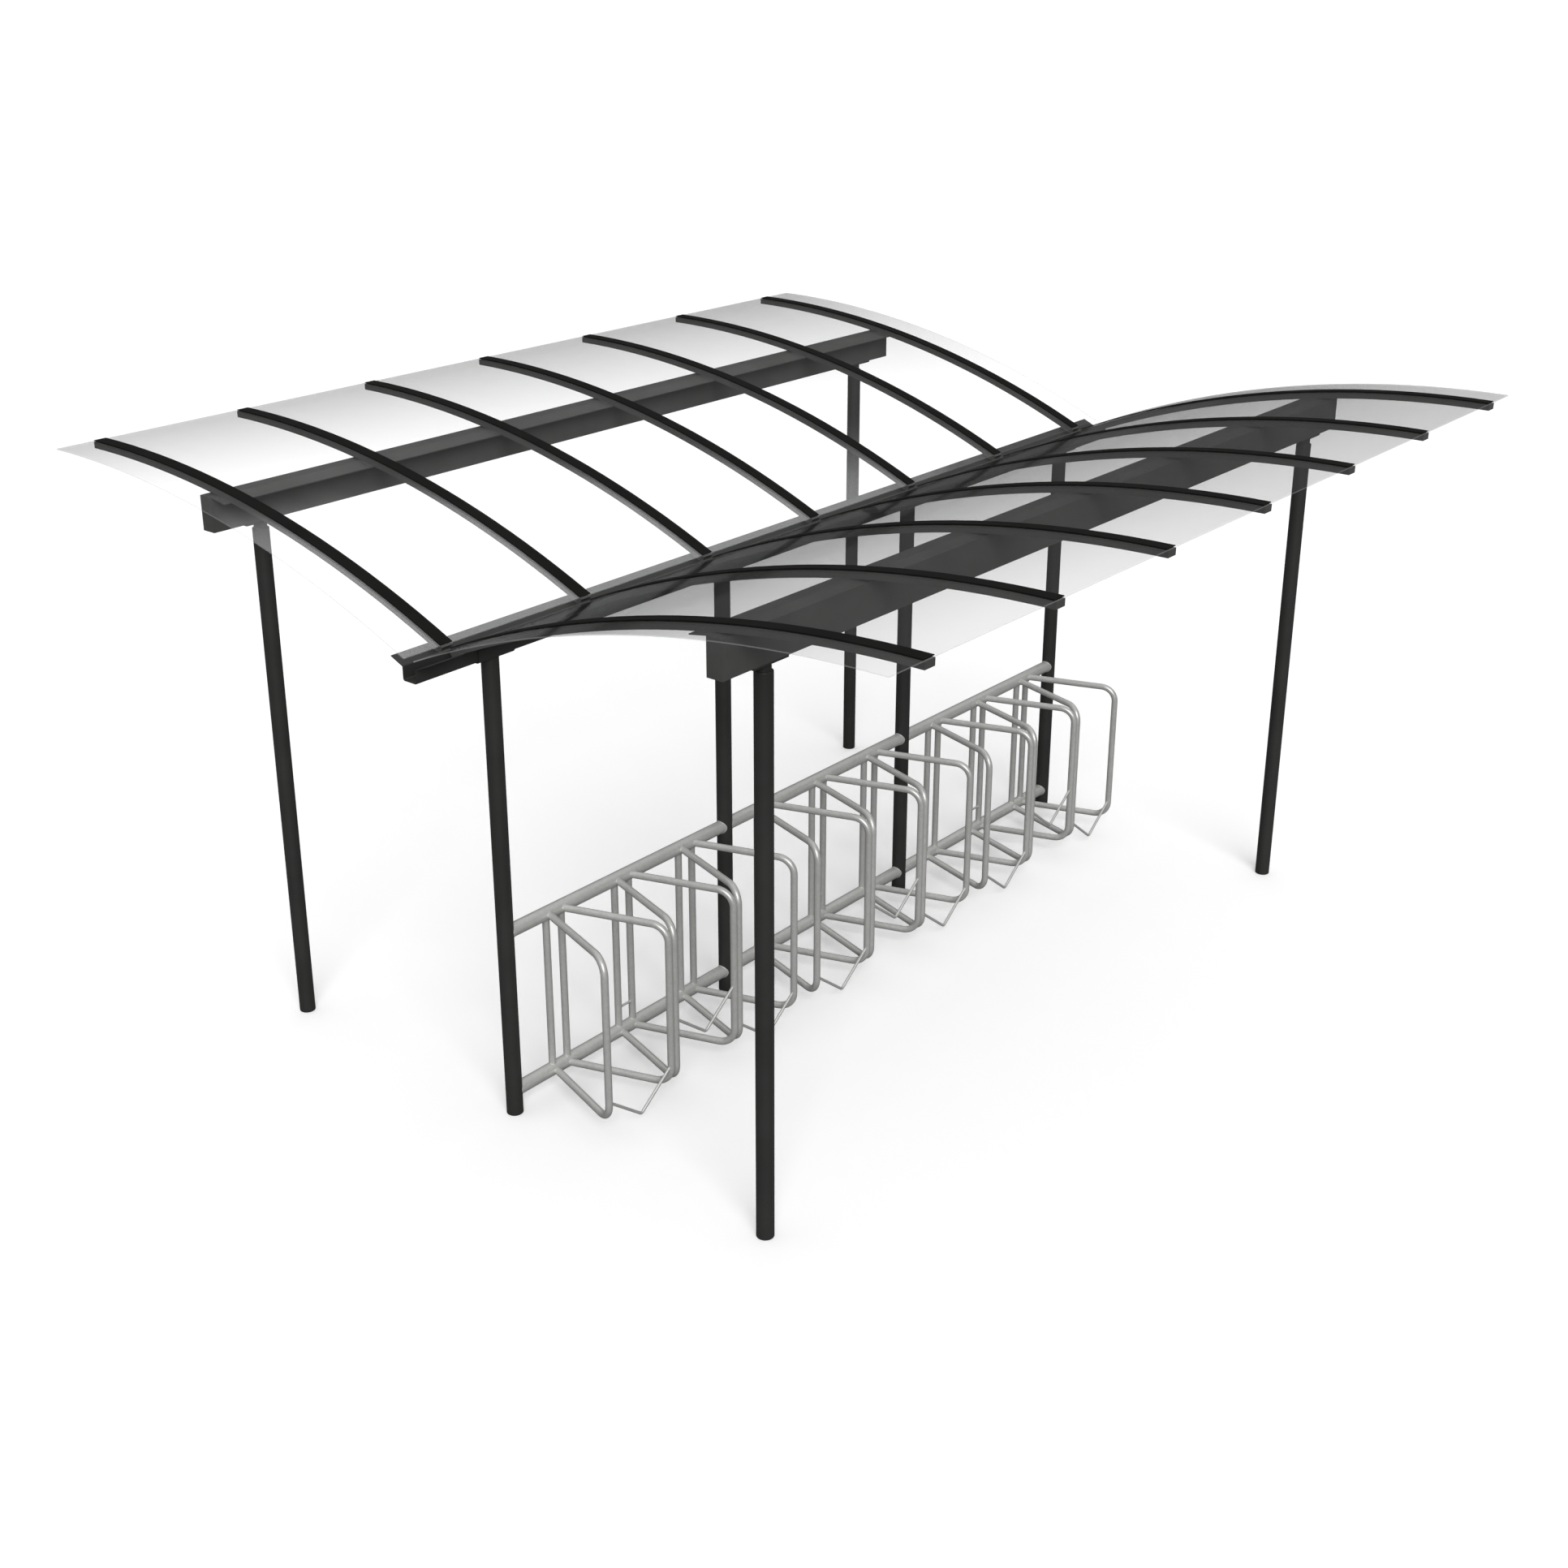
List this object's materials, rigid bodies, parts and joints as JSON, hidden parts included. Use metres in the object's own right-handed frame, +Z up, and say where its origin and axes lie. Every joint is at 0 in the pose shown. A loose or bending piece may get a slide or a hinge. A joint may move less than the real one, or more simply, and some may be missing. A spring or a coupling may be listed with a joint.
{
  "type": "bicycle shelter",
  "caption": "Open bicycle shelter on round posts, with a butterfly roof of curved clear sheets on ribs, a middle gutter and wheel racks between the middle posts.",
  "frame": {"origin": "on the floor, at the middle of the shelter, midway between the four middle posts", "axes": "+X across the two wings to the side that bicycles are rolled in from, +Y along the gutter, +Z up"},
  "size_m": [4.686, 5.25, 2.7734],
  "materials": {
    "black_powder_coat": "charcoal black powder coat, satin, on steel",
    "black_strip": "black coated flat strip",
    "rack_steel": "galvanised steel tube, dull light grey",
    "clear_sheet": "clear, slightly milky polycarbonate sheet"
  },
  "bodies": {
    "root": {"post_middle_1": "black_powder_coat", "post_middle_2": "black_powder_coat", "post_middle_3": "black_powder_coat", "post_middle_4": "black_powder_coat", "post_left_1": "black_powder_coat", "post_left_2": "black_powder_coat", "post_right_1": "black_powder_coat", "post_right_2": "black_powder_coat", "post_heads": "black_powder_coat", "gutter": "black_powder_coat", "gutter_saddles": "black_powder_coat", "beam_left": "black_powder_coat", "beam_right": "black_powder_coat", "beam_ends": "black_powder_coat", "rib_left_1": "black_powder_coat", "rib_left_2": "black_powder_coat", "rib_left_3": "black_powder_coat", "rib_left_4": "black_powder_coat", "rib_left_5": "black_powder_coat", "rib_left_6": "black_powder_coat", "rib_left_7": "black_powder_coat", "clamp_strips_left": "black_strip", "roof_sheet_left": "clear_sheet", "rib_right_1": "black_powder_coat", "rib_right_2": "black_powder_coat", "rib_right_3": "black_powder_coat", "rib_right_4": "black_powder_coat", "rib_right_5": "black_powder_coat", "rib_right_6": "black_powder_coat", "rib_right_7": "black_powder_coat", "clamp_strips_right": "black_strip", "roof_sheet_right": "clear_sheet", "rack_rails_1": "rack_steel", "rack_uprights_1": "rack_steel", "rack_hoops_1": "rack_steel", "rack_cradles_1": "rack_steel", "rack_rails_2": "rack_steel", "rack_uprights_2": "rack_steel", "rack_hoops_2": "rack_steel", "rack_cradles_2": "rack_steel", "rack_rails_3": "rack_steel", "rack_uprights_3": "rack_steel", "rack_hoops_3": "rack_steel", "rack_cradles_3": "rack_steel", "rack_stop_bars": "rack_steel"}
  },
  "joints": []
}
